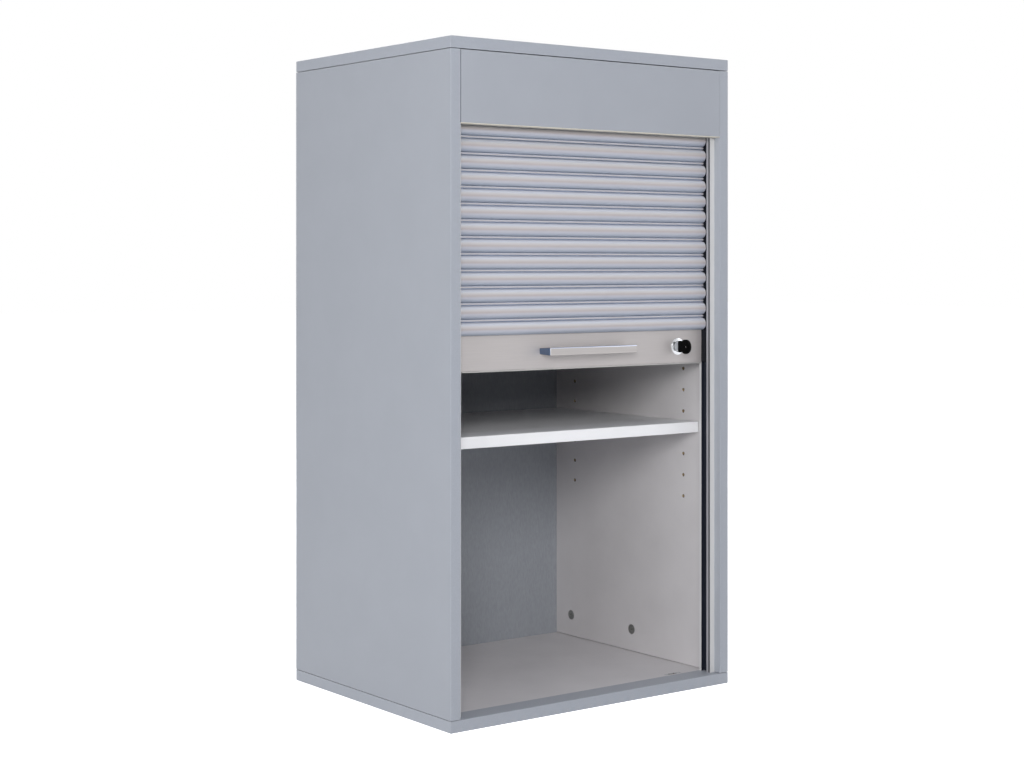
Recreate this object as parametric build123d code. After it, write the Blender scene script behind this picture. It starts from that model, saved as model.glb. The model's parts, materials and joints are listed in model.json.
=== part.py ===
from build123d import *
from math import cos, hypot, pi, radians, sin
import os

# File cupboard with a roller shutter, in millimetres. +Z is up, +X is to the right of someone who
# faces the cupboard, and the front looks along -Y. The origin is the middle of the underside.

# Carcass boards
width = 500.0
depth = 400.0
height = 920.0
board = 16.0
edge_band = 1.0
shelf_bottom = 368.0
shelf_side_gap = 0.5
shelf_back_gap = 3.0
interior_setback = 46.0
head_space = 152.0
fascia_height = 99.0
back_thickness = 3.0
back_inset = 9.0
back_groove = 6.0
back_gap = 0.2

# Shelf pins and their rows of holes
pin_radius = 2.5
pin_in_board = 8.0
pin_stub = 7.0
pin_row_from_front = 80.0
pin_row_from_back = 60.0
pin_pitch = 32.0
pin_holes_each_way = 3

# Cam fittings and dowels that hold the boards together
cam_radius = 7.5
cam_thickness = 12.0
cam_from_edge = 34.0
cam_bolt_radius = 3.0
cam_bolt_depth = 11.0
cam_head_reach = 3.0
cam_slot_length = 8.0
cam_slot_width = 1.4
cam_slot_depth = 2.0
dowel_radius = 4.0
dowel_in_edge = 19.0
dowel_in_face = 11.0
end_space = 0.5
fit_gap = 0.05
side_cam_depths = (depth / 2, depth - 50.0)
side_dowel_depths = (50.0, depth - 110.0)
floor_cam_depths = (90.0, depth - 55.0)
floor_dowel_depths = (150.0, depth - 115.0)
fascia_cam_height = 70.0
fascia_dowel_height = 25.0

# Guide rails: a plastic profile with a shadow groove at the front and a slot for the curtain
guide_setback = 12.0
guide_width = 9.0
guide_flange = 1.2
shadow_gap = 2.2
shadow_depth = 3.0
slot_lip = 4.2
slot_width = 11.1
slot_base = 2.0
rear_lip = 4.3
liner_wall = 0.6
guide_screw_count = 4
guide_screw_low = 60.0
guide_screw_from_fascia = 85.0
screw_radius = 1.75
screw_head_radius = 3.6
screw_head = 1.6
screw_length = 13.0

# Curtain of hooked slats
slat_pitch = 22.5
slat_count = 36
bulge_radius = 8.7
bulge_straight = 2.3
slat_wall = 1.2
lip_back = 0.2
web_thickness = 1.0
web_back = 0.4
web_bead = 0.9
hook_reach = 2.8
hook_rise = 2.0
hook_thickness = 0.8
hinge_lift = 0.2
hinge_back = 1.9
hinge_tolerance = 1e-9
curtain_gap = 0.3
curtain_end_gap = 1.0
cap_gap = 0.1
cap_length = 12.0
cap_hook_gap = 1.2
glide_radius = 4.7
glide_length = 7.1

# Spiral guides in the head; the first turn is wider, so that the rail of the open shutter has room
spiral_first_pitch = 21.0
spiral_pitch = 13.0
spiral_half_turns = 6
spiral_groove = 10.4
spiral_wall = 3.0
spiral_base = 1.5
spiral_gap = 0.4
spiral_corner = 33.7
spiral_screw_inset = 16.85
spiral_screw_front = 9.0
hinge_inset = 3.2

# Bottom rail of the shutter, drawn where the photograph shows it, half open
rail_bottom = 474.0
rail_height = 48.0
rail_depth = 14.0
rail_wall = 1.4
rail_corner = 0.6
end_plate = 0.8
end_tongue_gap = 0.3
end_plug = 14.0
seal_height = 2.0
seal_inset = 1.2
closed_gap = 0.5
open_gap = 1.0

# Bar handle
handle_length = 158.0
handle_height = 11.5
handle_reach = 24.0
handle_bar = 8.0
handle_leg = 13.0
handle_edge = 0.9
handle_screw_radius = 2.0
handle_screw_grip = 9.0
handle_screw_head = 2.4
handle_screw_head_radius = 3.5
driver_hole_radius = 4.5

# Lock
lock_from_end = 47.0
flange_radius = 12.4
flange_height = 2.0
flange_edge = 1.1
barrel_radius = 9.5
barrel_length = 9.4
plug_radius = 7.5
plug_recess = 0.3
running_gap = 0.05
nut_radius = 12.0
nut_thickness = 3.0
nut_slot_width = 2.0
nut_slot_depth = 1.5
driver_radius = 8.5
driver_thickness = 1.0
crank_radius = 5.66
crank_pin_radius = 2.0
crank_pin_length = 1.8
crank_rest = 45.0
bolt_thickness = 1.5
bolt_play = 0.25
bolt_slot_play = 0.3
bolt_left = 5.0
bolt_right = 10.5
bolt_stem_right = 7.0
bolt_above = 9.0
bolt_guide_height = 6.0
bolt_guide_side = 6.0
bolt_guide_thickness = 4.0
strike_plate_thickness = 1.0
strike_border = 8.0
strike_play = 1.2
strike_depth = 9.0
strike_screw_radius = 1.5
strike_screw_length = 10.0

# Key
keyway_width = 2.2
keyway_height = 7.0
key_gap = 0.1
key_reach = 10.4
key_tang = 7.0
bow_radius = 10.5
bow_centre = 16.0
bow_thickness = 3.0
bow_neck = 15.8
bow_shoulder = 18.4
bow_shoulder_length = 7.6
bow_shoulder_round = 2.5
bow_hole = 2.0
bow_start = 0.7
bitting = (1.2, 2.0, 0.8)

# Places worked out from the sizes above
front = -depth / 2
inner_half = width / 2 - board
top_under = height - board
fascia_bottom = top_under - fascia_height
head_floor_top = top_under - head_space
back_front = depth - back_inset - back_thickness
guide_face = inner_half - guide_width
slot_start = guide_setback + guide_flange + shadow_gap + slot_lip
slot_centre = slot_start + slot_width / 2
slot_floor = inner_half - slot_base
guide_depth = slot_start + slot_width + rear_lip
curtain_back = slot_start + slot_width + curtain_gap
curtain_half = guide_face - curtain_end_gap
bulge_height = 2 * bulge_radius
rail_front = curtain_back - web_back - web_thickness
rail_top = rail_bottom + rail_height
rail_middle = rail_bottom + rail_height / 2
rail_back = rail_front + rail_depth
close_travel = rail_bottom - seal_height - board - closed_gap
open_travel = fascia_bottom - rail_top - open_gap
spiral_first = head_space / 2 - spiral_gap - spiral_wall - spiral_groove / 2
spiral_middle = head_floor_top + head_space / 2
hinge_height = slat_wall + hinge_lift


def at(depth_in):
    """The y of a point that lies this far behind the front of the cupboard."""
    return front + depth_in


def block(x0, x1, d0, d1, z0, z1):
    """A block from corner to corner, with its depths measured from the front."""
    place = Pos((x0 + x1) / 2, at((d0 + d1) / 2), (z0 + z1) / 2)
    return place * Box(abs(x1 - x0), d1 - d0, z1 - z0)


def rod_x(radius, x0, x1, depth_in, z):
    """A round bar along X."""
    turn = Rotation(0, 90, 0)
    return Pos((x0 + x1) / 2, at(depth_in), z) * turn * Cylinder(radius, abs(x1 - x0))


def rod_y(radius, d0, d1, x, z):
    """A round bar that runs back from the front."""
    turn = Rotation(90, 0, 0)
    return Pos(x, at((d0 + d1) / 2), z) * turn * Cylinder(radius, d1 - d0)


def rod_z(radius, x, depth_in, z0, z1):
    """An upright round bar."""
    return Pos(x, at(depth_in), (z0 + z1) / 2) * Cylinder(radius, z1 - z0)


def both_sides(shape):
    """A piece made for the right, and its mirror image on the left."""
    return shape, mirror(shape, about=Plane.YZ)


def save(name, *shapes):
    """Write one node, which may hold several separate solids."""
    solids = [solid for shape in shapes for solid in shape.solids()]
    export_step(Compound(children=solids), "parts/" + name + ".step")


def swept_section(section, x0, x1):
    """Extrude a section drawn with its x as depth and its y as height, from x0 to x1."""
    plane = Plane(origin=(x0, front, 0), x_dir=(0, 1, 0), z_dir=(1, 0, 0))
    return extrude(plane * section, x1 - x0)


def rectangle(d0, d1, z0, z1):
    """A rectangle in a section, from corner to corner."""
    return Pos((d0 + d1) / 2, (z0 + z1) / 2) * Rectangle(d1 - d0, z1 - z0)


def disc(depth_in, z, radius):
    """A disc in a section."""
    return Pos(depth_in, z) * Circle(radius)


# Cam fittings: each has a cam, a bolt and the holes that they need


def upright_fitting(depth_in, z_joint, up):
    """A fitting in a side panel that draws a board on to its end; up is 1 at the top, -1 below."""
    x = inner_half + board / 2
    z_cam = z_joint - up * cam_from_edge
    z_bolt = (z_cam + up * (cam_radius - cam_head_reach), z_joint + up * cam_bolt_depth)
    low, high = min(z_bolt), max(z_bolt)
    cam = rod_x(cam_radius, inner_half, inner_half + cam_thickness, depth_in, z_cam)
    cam -= rod_z(cam_bolt_radius + end_space, x, depth_in, low - end_space, high)
    cam -= block(inner_half, inner_half + cam_slot_depth, depth_in - cam_slot_length / 2,
                 depth_in + cam_slot_length / 2, z_cam - cam_slot_width / 2, z_cam + cam_slot_width / 2)
    bolt = rod_z(cam_bolt_radius, x, depth_in, low, high)
    cam_hole = rod_x(cam_radius + fit_gap, inner_half, inner_half + cam_thickness, depth_in, z_cam)
    bolt_hole = rod_z(cam_bolt_radius + fit_gap, x, depth_in, low, high)
    return cam, bolt, cam_hole, bolt_hole


def level_fitting(depth_in, z_bolt, cam_hole_at):
    """A fitting between a board and the side panel beside it; the cam sits in the board."""
    x_cam = inner_half - cam_from_edge
    x0 = x_cam + cam_radius - cam_head_reach
    x1 = inner_half + cam_bolt_depth
    bolt = rod_x(cam_bolt_radius, x0, x1, depth_in, z_bolt)
    bolt_hole = rod_x(cam_bolt_radius + fit_gap, x0, x1, depth_in, z_bolt)
    space = rod_x(cam_bolt_radius + end_space, x0 - end_space, x1, depth_in, z_bolt)
    cam = cam_hole_at(x_cam, cam_radius) - space
    return cam, bolt, cam_hole_at(x_cam, cam_radius + fit_gap), bolt_hole


cams = []
cam_bolts = []
dowels = []
side_holes = []
top_holes = []
bottom_holes = []
floor_holes = []
fascia_holes = []

for up, z_joint, board_holes in ((1, top_under, top_holes), (-1, board, bottom_holes)):
    for depth_in in side_cam_depths:
        cam, bolt, cam_hole, bolt_hole = upright_fitting(depth_in, z_joint, up)
        cams.append(cam)
        cam_bolts.append(bolt)
        side_holes += [cam_hole, bolt_hole]
        board_holes.append(bolt_hole)
    for depth_in in side_dowel_depths:
        ends = sorted((z_joint - up * dowel_in_edge, z_joint + up * dowel_in_face))
        x = inner_half + board / 2
        dowels.append(rod_z(dowel_radius, x, depth_in, *ends))
        hole = rod_z(dowel_radius + fit_gap, x, depth_in, *ends)
        side_holes.append(hole)
        board_holes.append(hole)

head_floor_bottom = head_floor_top - board
for depth_in in floor_cam_depths:
    cam, bolt, cam_hole, bolt_hole = level_fitting(
        depth_in, head_floor_bottom + board / 2,
        lambda x, r: rod_z(r, x, depth_in, head_floor_bottom, head_floor_bottom + cam_thickness))
    cams.append(cam)
    cam_bolts.append(bolt)
    floor_holes += [cam_hole, bolt_hole]
    side_holes.append(bolt_hole)
for depth_in in floor_dowel_depths:
    ends = (inner_half - dowel_in_edge, inner_half + dowel_in_face)
    dowels.append(rod_x(dowel_radius, *ends, depth_in, head_floor_bottom + board / 2))
    hole = rod_x(dowel_radius + fit_gap, *ends, depth_in, head_floor_bottom + board / 2)
    floor_holes.append(hole)
    side_holes.append(hole)

fascia_cam_z = fascia_bottom + fascia_cam_height
cam, bolt, cam_hole, bolt_hole = level_fitting(
    board / 2, fascia_cam_z, lambda x, r: rod_y(r, board - cam_thickness, board, x, fascia_cam_z))
cams.append(cam)
cam_bolts.append(bolt)
fascia_holes += [cam_hole, bolt_hole]
side_holes.append(bolt_hole)
ends = (inner_half - dowel_in_edge, inner_half + dowel_in_face)
dowels.append(rod_x(dowel_radius, *ends, board / 2, fascia_bottom + fascia_dowel_height))
hole = rod_x(dowel_radius + fit_gap, *ends, board / 2, fascia_bottom + fascia_dowel_height)
fascia_holes.append(hole)
side_holes.append(hole)


# Guide rail, its liner and its screws


def guide_section():
    """The rail's section on the right, drawn with x across the cupboard and y as depth."""
    body = rectangle(guide_face, inner_half, guide_setback, guide_depth)
    groove_start = guide_setback + guide_flange
    body -= rectangle(guide_face, guide_face + shadow_depth, groove_start, groove_start + shadow_gap)
    body -= rectangle(guide_face, slot_floor, slot_start, slot_start + slot_width)
    return body


def upright(section, z0, z1):
    """Extrude a section drawn with x across and y as depth, from z0 to z1."""
    return Pos(0, front, z0) * extrude(section, z1 - z0)


def guide_screw(z):
    """A countersunk screw through the slot's floor, and the hole that it needs."""
    taper = Cone(screw_radius, screw_head_radius, screw_head)
    head = Pos(slot_floor + screw_head / 2, at(slot_centre), z) * Rotation(0, -90, 0) * taper
    shank = rod_x(screw_radius, slot_floor + screw_head, slot_floor + screw_length, slot_centre, z)
    return head + shank, head


guide_rail = upright(guide_section(), board, fascia_bottom)
guide_screws = []
guide_screw_high = fascia_bottom - guide_screw_from_fascia
for number in range(guide_screw_count):
    z = guide_screw_low + (guide_screw_high - guide_screw_low) * number / (guide_screw_count - 1)
    screw, head = guide_screw(z)
    guide_screws.append(screw)
    hole = rod_x(screw_radius + fit_gap, slot_floor, slot_floor + screw_length, slot_centre, z)
    guide_rail -= head
    guide_rail -= hole
    side_holes.append(hole)

liner_section = rectangle(guide_face, slot_floor, slot_start, slot_start + slot_width)
liner_section -= rectangle(guide_face, slot_floor - liner_wall, slot_start + liner_wall,
                           slot_start + slot_width - liner_wall)
track_liner = upright(liner_section, board, fascia_bottom)


# Spiral guide in the head: half turns whose centres step inwards

spiral_arcs = []
arc_front = slot_centre
arc_radius = spiral_first
for number in range(spiral_half_turns):
    over_the_top = number % 2 == 0
    if over_the_top:
        arc_centre = arc_front + arc_radius
        arc_back = arc_centre + arc_radius
    else:
        arc_centre = arc_back - arc_radius
        arc_front = arc_centre - arc_radius
    spiral_arcs.append((arc_centre, arc_radius, over_the_top))
    arc_radius -= (spiral_first_pitch if number == 0 else spiral_pitch) / 2

spiral_back = slot_centre + 2 * spiral_first + spiral_groove / 2 + spiral_wall


def spiral_groove_section():
    """The groove: a straight run up from the rail's slot, then the half turns."""
    half = spiral_groove / 2
    groove = rectangle(slot_centre - half, slot_centre + half, fascia_bottom, spiral_middle)
    for centre, radius, over_the_top in spiral_arcs:
        ring = disc(centre, spiral_middle, radius + half) - disc(centre, spiral_middle, radius - half)
        side = (0, height) if over_the_top else (-height, 0)
        ring &= rectangle(centre - depth, centre + depth, spiral_middle + side[0],
                          spiral_middle + side[1])
        groove += ring
    return groove


plate_low = head_floor_top + spiral_gap
plate_high = top_under - spiral_gap
plate_front = board + spiral_gap
plate = rectangle(plate_front, spiral_back, plate_low, plate_high)
plate = fillet(plate.vertices().group_by(Axis.X)[-1], spiral_corner)
plate -= rectangle(0, guide_depth + spiral_gap, 0, fascia_bottom)
spiral_guide = swept_section(plate, guide_face, inner_half)
spiral_guide -= swept_section(spiral_groove_section(), guide_face, inner_half - spiral_base)
spiral_guide = max(spiral_guide.solids(), key=lambda solid: solid.volume)

spiral_screws = []
spiral_screw_places = (
    (spiral_back - spiral_screw_inset, plate_high - spiral_screw_inset),
    (spiral_back - spiral_screw_inset, plate_low + spiral_screw_inset),
    (guide_depth + spiral_screw_front, plate_low + spiral_screw_front))
for depth_in, z in spiral_screw_places:
    taper = Cone(screw_radius, screw_head_radius, screw_head)
    head = Pos(guide_face + screw_head / 2, at(depth_in), z) * Rotation(0, -90, 0) * taper
    end = inner_half + screw_length - slot_base
    shank = rod_x(screw_radius, guide_face + screw_head, end, depth_in, z)
    hole = rod_x(screw_radius + fit_gap, guide_face, end, depth_in, z)
    spiral_screws.append(head + shank)
    spiral_guide -= head
    spiral_guide -= hole
    side_holes.append(hole)


# Carcass

side_panel = block(inner_half, width / 2, edge_band, depth, board, top_under)
back_slot = block(0, inner_half + back_groove + back_gap, back_front - back_gap / 2,
                  back_front + back_thickness + back_gap / 2,
                  board - back_groove - back_gap, top_under + back_groove + back_gap)
side_panel -= back_slot
for hole in side_holes:
    side_panel -= hole

pin_height = shelf_bottom - pin_radius
shelf_pins = []
for row in (pin_row_from_front, depth - pin_row_from_back):
    for step in range(-pin_holes_each_way, pin_holes_each_way + 1):
        side_panel -= rod_x(pin_radius + fit_gap, inner_half, inner_half + pin_in_board + end_space,
                            row, pin_height + step * pin_pitch)
    shelf_pins.append(rod_x(pin_radius, inner_half - pin_stub, inner_half + pin_in_board,
                            row, pin_height))

outer_half = width / 2 - edge_band
top_panel = block(-outer_half, outer_half, edge_band, depth, top_under, height)
bottom_panel = block(-outer_half, outer_half, edge_band, depth, 0, board)
for right_slot in both_sides(back_slot):
    top_panel -= right_slot
    bottom_panel -= right_slot
for hole in top_holes:
    for side in both_sides(hole):
        top_panel -= side
for hole in bottom_holes:
    for side in both_sides(hole):
        bottom_panel -= side

fascia = block(-inner_half, inner_half, 0, board, fascia_bottom + edge_band, top_under)
for hole in fascia_holes:
    for side in both_sides(hole):
        fascia -= side

floor_front = interior_setback + edge_band
head_floor = block(-inner_half, inner_half, floor_front, back_front - back_gap,
                   head_floor_bottom, head_floor_top)
for hole in floor_holes:
    for side in both_sides(hole):
        head_floor -= side

shelf_half = inner_half - shelf_side_gap
shelf_top = shelf_bottom + board
shelf = block(-shelf_half, shelf_half, floor_front, back_front - shelf_back_gap,
              shelf_bottom, shelf_top)
shelf_edge = block(-shelf_half, shelf_half, interior_setback, floor_front, shelf_bottom, shelf_top)

back_half = inner_half + back_groove
back_panel = block(-back_half, back_half, back_front, back_front + back_thickness,
                   board - back_groove, top_under + back_groove)

edge_bands = [block(-inner_half, inner_half, 0, board, fascia_bottom, fascia_bottom + edge_band),
              block(-inner_half, inner_half, interior_setback, floor_front,
                    head_floor_bottom, head_floor_top)]
edge_bands += both_sides(block(inner_half, width / 2, 0, edge_band, board, top_under))
for z0, z1 in ((0, board), (top_under, height)):
    edge_bands.append(block(-width / 2, width / 2, 0, edge_band, z0, z1))
    edge_bands += both_sides(block(outer_half, width / 2, edge_band, depth, z0, z1))


# Slats: a half-round shell, open at the back, whose web hooks over the lip of the slat above


def slat_section():
    """One slat's section, with x back from the curtain's back face and y up from its lower edge."""
    centre = -bulge_straight
    shell = disc(centre, bulge_radius, bulge_radius)
    shell -= disc(centre, bulge_radius, bulge_radius - slat_wall)
    shell &= rectangle(-bulge_radius * 2, centre, 0, bulge_height)
    shell += rectangle(centre, centre + lip_back, 0, slat_wall)
    shell += rectangle(centre, -web_back, bulge_height - slat_wall, bulge_height)
    hook_bottom = slat_pitch + hook_rise
    web = rectangle(-web_back - web_thickness, -web_back, bulge_height - slat_wall,
                    hook_bottom + hook_thickness)
    web += rectangle(-web_back - hook_reach, -web_back, hook_bottom, hook_bottom + hook_thickness)
    bead = disc(-web_back - web_thickness, (bulge_height + slat_pitch) / 2, web_bead)
    web += bead & rectangle(-web_back - hook_reach, -web_back, bulge_height, slat_pitch)
    return shell + web


def cap_section():
    """The plug that closes the end of a slat."""
    plug = disc(-bulge_straight, bulge_radius, bulge_radius - slat_wall - cap_gap)
    plug &= rectangle(-bulge_radius * 2, -bulge_straight + lip_back, 0, bulge_height)
    hook_room = web_back + hook_reach + cap_hook_gap
    return plug - rectangle(-hook_room, 0, 0, hook_rise + hook_thickness + cap_hook_gap)


def placed(section, lower, upper, x0, x1):
    """Extrude a slat's section with its hinge line from lower to upper, each (depth, z)."""
    run = hypot(upper[0] - lower[0], upper[1] - lower[1])
    along = ((upper[0] - lower[0]) / run, (upper[1] - lower[1]) / run)
    behind = (along[1], -along[0])
    corner = [lower[i] - along[i] * hinge_height + behind[i] * hinge_back for i in (0, 1)]
    plane = Plane(origin=(x0, at(corner[0]), corner[1]), x_dir=(0, behind[0], behind[1]),
                  z_dir=(1, 0, 0))
    return extrude(plane * section, x1 - x0)


def hinge_point(travel):
    """The point of the curtain's hinge line at a distance above the rail's first hinge."""
    depth_in = curtain_back - hinge_back
    z = rail_top + hinge_height + travel
    if z <= spiral_middle:
        return depth_in, z
    left = z - spiral_middle
    for centre, radius, over_the_top in spiral_arcs:
        hinge_radius = radius - hinge_inset
        if left <= pi * hinge_radius:
            break
        left -= pi * hinge_radius
    angle = left / hinge_radius
    way = 1 if over_the_top else -1
    return centre - way * hinge_radius * cos(angle), spiral_middle + way * hinge_radius * sin(angle)


def next_travel(travel):
    """The travel at which the hinge line is one pitch, in a straight line, further on."""
    start = hinge_point(travel)
    low, high = travel + slat_pitch / 2, travel + 2 * slat_pitch
    while high - low > hinge_tolerance:
        middle = (low + high) / 2
        point = hinge_point(middle)
        if hypot(point[0] - start[0], point[1] - start[1]) < slat_pitch:
            low = middle
        else:
            high = middle
    return low


slat_shape = slat_section()
cap_shape = cap_section()
pin_shape = disc(slot_centre - curtain_back, bulge_radius, glide_radius)
last_straight = spiral_middle - slat_pitch - hinge_height - rail_top
slats = []
slat_caps = []
roll = []
roll_caps = []
travel = 0.0
for _ in range(slat_count):
    following = next_travel(travel)
    lower, upper = hinge_point(travel), hinge_point(following)
    slat = placed(slat_shape, lower, upper, -curtain_half, curtain_half)
    plug = placed(cap_shape, lower, upper, curtain_half - cap_length, curtain_half)
    cap = plug + placed(pin_shape, lower, upper, curtain_half, curtain_half + glide_length)
    if travel <= last_straight:
        slats.append(slat)
        slat_caps += both_sides(cap)
    else:
        roll.append(slat)
        roll_caps += both_sides(cap)
    travel = following


# Bottom rail

lock_x = curtain_half - lock_from_end
rail_shell = rectangle(rail_front, rail_back, rail_bottom, rail_top)
rail_shell = fillet(rail_shell.vertices(), rail_corner)
rail_hollow = (rail_front + rail_wall, rail_back - rail_wall,
               rail_bottom + rail_wall, rail_top - rail_wall)
rail_shell -= rectangle(*rail_hollow)
hook_bottom = rail_top + hook_rise
rail_shell += rectangle(rail_front, rail_front + web_thickness, rail_top - rail_wall,
                        hook_bottom + hook_thickness)
rail_shell += rectangle(curtain_back - web_back - hook_reach, curtain_back - web_back,
                        hook_bottom, hook_bottom + hook_thickness)
bottom_rail = swept_section(rail_shell, -curtain_half, curtain_half)
bottom_rail -= rod_y(barrel_radius + fit_gap, rail_front, rail_front + rail_wall, lock_x, rail_middle)

seal_front = rail_front + seal_inset
seal_back = rail_back - seal_inset
rail_seal = block(-curtain_half, curtain_half, seal_front, seal_back,
                  rail_bottom - seal_height, rail_bottom)

tongue_front = slot_start + liner_wall + end_tongue_gap
tongue_back = slot_start + slot_width - liner_wall - end_tongue_gap
rail_end = block(curtain_half, curtain_half + end_plate, tongue_front, rail_back,
                 rail_bottom + rail_corner, rail_top - rail_corner)
rail_end += block(curtain_half, curtain_half + glide_length, tongue_front, tongue_back,
                  rail_bottom + rail_corner, rail_top - rail_corner)
rail_end += block(curtain_half - end_plug, curtain_half, rail_hollow[0] + cap_gap,
                  rail_hollow[1] - cap_gap, rail_hollow[2] + cap_gap, rail_hollow[3] - cap_gap)


# Handle and its screws

handle_front = rail_front - handle_reach
handle_half = handle_length / 2
handle_low = rail_middle - handle_height / 2
handle_high = rail_middle + handle_height / 2
handle = block(-handle_half, handle_half, handle_front, rail_front, handle_low, handle_high)
handle -= block(-handle_half + handle_leg, handle_half - handle_leg, handle_front + handle_bar,
                rail_front, handle_low, handle_high)
handle = fillet(handle.edges().group_by(Axis.Y)[0], handle_edge)

handle_screws = []
leg_middle = handle_half - handle_leg / 2
for x in (-leg_middle, leg_middle):
    grip = rail_front - handle_screw_grip
    head_start = rail_front + rail_wall
    shank = rod_y(handle_screw_radius, grip, head_start, x, rail_middle)
    head = rod_y(handle_screw_head_radius, head_start, head_start + handle_screw_head, x, rail_middle)
    handle_screws.append(shank + head)
    hole = rod_y(handle_screw_radius + fit_gap, grip - end_space, head_start, x, rail_middle)
    handle -= hole
    bottom_rail -= hole
    bottom_rail -= rod_y(driver_hole_radius, rail_back - rail_wall, rail_back, x, rail_middle)


# Lock: housing, nut, plug, driver with its crank pin, and the bolt that it moves

housing = rod_y(flange_radius, rail_front - flange_height, rail_front, lock_x, rail_middle)
rim = housing.edges().group_by(Axis.Y)[0]
housing = fillet(rim, flange_edge)
housing += rod_y(barrel_radius, rail_front, rail_front + barrel_length, lock_x, rail_middle)
barrel_end = rail_front + barrel_length
housing -= rod_y(plug_radius + running_gap, rail_front - flange_height, barrel_end, lock_x, rail_middle)

nut_start = rail_front + rail_wall
lock_nut = rod_y(nut_radius, nut_start, nut_start + nut_thickness, lock_x, rail_middle)
lock_nut -= rod_y(barrel_radius + fit_gap, nut_start, nut_start + nut_thickness, lock_x, rail_middle)
lock_nut -= block(lock_x - nut_radius, lock_x + nut_radius, nut_start + nut_thickness - nut_slot_depth,
                  nut_start + nut_thickness, rail_middle - nut_slot_width / 2,
                  rail_middle + nut_slot_width / 2)

plug_front = rail_front - flange_height + plug_recess
plug_back = barrel_end + bolt_play
plug = rod_y(plug_radius, plug_front, plug_back, lock_x, rail_middle)
plug -= block(lock_x - keyway_width / 2, lock_x + keyway_width / 2, plug_front,
              plug_front + key_reach + end_space, rail_middle - keyway_height / 2,
              rail_middle + keyway_height / 2)

driver_back = plug_back + driver_thickness
crank_x = lock_x + crank_radius * cos(radians(crank_rest))
crank_z = rail_middle + crank_radius * sin(radians(crank_rest))
lock_driver = rod_y(driver_radius, plug_back, driver_back, lock_x, rail_middle)
lock_driver += rod_y(crank_pin_radius, driver_back, driver_back + crank_pin_length, crank_x, crank_z)

bolt_stroke = 2 * crank_radius * sin(radians(crank_rest))
bolt_front = driver_back + bolt_play
bolt_back = bolt_front + bolt_thickness
bolt_low = rail_bottom + rail_wall / 2
bolt_head_low = rail_middle - bolt_above / 2
lock_bolt = block(lock_x - bolt_left, lock_x + bolt_right, bolt_front, bolt_back,
                  bolt_head_low, rail_middle + bolt_above)
lock_bolt += block(lock_x - bolt_left, lock_x + bolt_stem_right, bolt_front, bolt_back,
                   bolt_low, bolt_head_low)
slot_half = crank_pin_radius + bolt_slot_play
lock_bolt -= block(crank_x - slot_half, lock_x + crank_radius + slot_half, bolt_front, bolt_back,
                   crank_z - slot_half, crank_z + slot_half)

stem_slot = block(lock_x - bolt_left - bolt_play, lock_x + bolt_stem_right + bolt_play,
                  bolt_front - bolt_play, bolt_back + bolt_play,
                  rail_bottom - seal_height, rail_bottom + rail_wall + bolt_guide_height)
bolt_guide = block(lock_x - bolt_left - bolt_guide_side, lock_x + bolt_stem_right + bolt_guide_side,
                   rail_hollow[1] - bolt_guide_thickness, rail_hollow[1],
                   rail_hollow[2], rail_hollow[2] + bolt_guide_height)
bolt_guide -= stem_slot
bottom_rail -= stem_slot
rail_seal -= stem_slot

strike_x = (lock_x - bolt_left - strike_play, lock_x + bolt_stem_right + strike_play)
strike_d = (bolt_front - strike_play, bolt_back + strike_play)
strike_hole = block(*strike_x, *strike_d, board - strike_depth, board)
strike_plate = block(strike_x[0] - strike_border, strike_x[1] + strike_border,
                     strike_d[0] - strike_play, strike_d[1] + strike_play,
                     board - strike_plate_thickness, board)
bottom_panel -= strike_plate
bottom_panel -= strike_hole
strike_plate -= strike_hole
strike_screws = []
for x in (strike_x[0] - strike_border / 2, strike_x[1] + strike_border / 2):
    screw = rod_z(strike_screw_radius, x, sum(strike_d) / 2, board - strike_screw_length, board)
    hole = rod_z(strike_screw_radius + fit_gap, x, sum(strike_d) / 2,
                 board - strike_screw_length, board)
    strike_screws.append(screw)
    strike_plate -= hole
    bottom_panel -= hole


# Key: a flat blade in a plastic bow that stands upright when the bolt is drawn

bow_back = plug_front - bow_start
blade_end = plug_front + key_reach
blade_half = keyway_height / 2 - key_gap
blade = block(lock_x - keyway_width / 2 + key_gap, lock_x + keyway_width / 2 - key_gap,
              bow_back - key_tang, blade_end, rail_middle - blade_half, rail_middle + blade_half)
cut_step = key_reach / (len(bitting) + 1)
for number, cut in enumerate(bitting):
    place = plug_front + cut_step * (number + 1)
    blade -= block(lock_x - keyway_width, lock_x + keyway_width, place - cut_step / 4,
                   place + cut_step / 4, rail_middle + blade_half - cut, rail_middle + blade_half)

bow_middle = plug_front - bow_centre
shoulder_front = bow_back - bow_shoulder_length
bow_face = disc(bow_middle, rail_middle, bow_radius)
bow_face += rectangle(bow_middle, bow_back, rail_middle - bow_neck / 2, rail_middle + bow_neck / 2)
shoulder = rectangle(shoulder_front, bow_back, rail_middle - bow_shoulder / 2,
                     rail_middle + bow_shoulder / 2)
bow_face += fillet(shoulder.vertices(), bow_shoulder_round)
bow_face -= disc(bow_middle, rail_middle, bow_hole)
key_bow = swept_section(bow_face, lock_x - bow_thickness / 2, lock_x + bow_thickness / 2)
key_bow -= block(lock_x - keyway_width / 2 + key_gap, lock_x + keyway_width / 2 - key_gap,
                 bow_back - key_tang, bow_back, rail_middle - blade_half, rail_middle + blade_half)


os.makedirs("parts", exist_ok=True)

right_panel, left_panel = both_sides(side_panel)
right_guide, left_guide = both_sides(guide_rail)
right_liner, left_liner = both_sides(track_liner)
right_spiral, left_spiral = both_sides(spiral_guide)
right_end, left_end = both_sides(rail_end)

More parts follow.
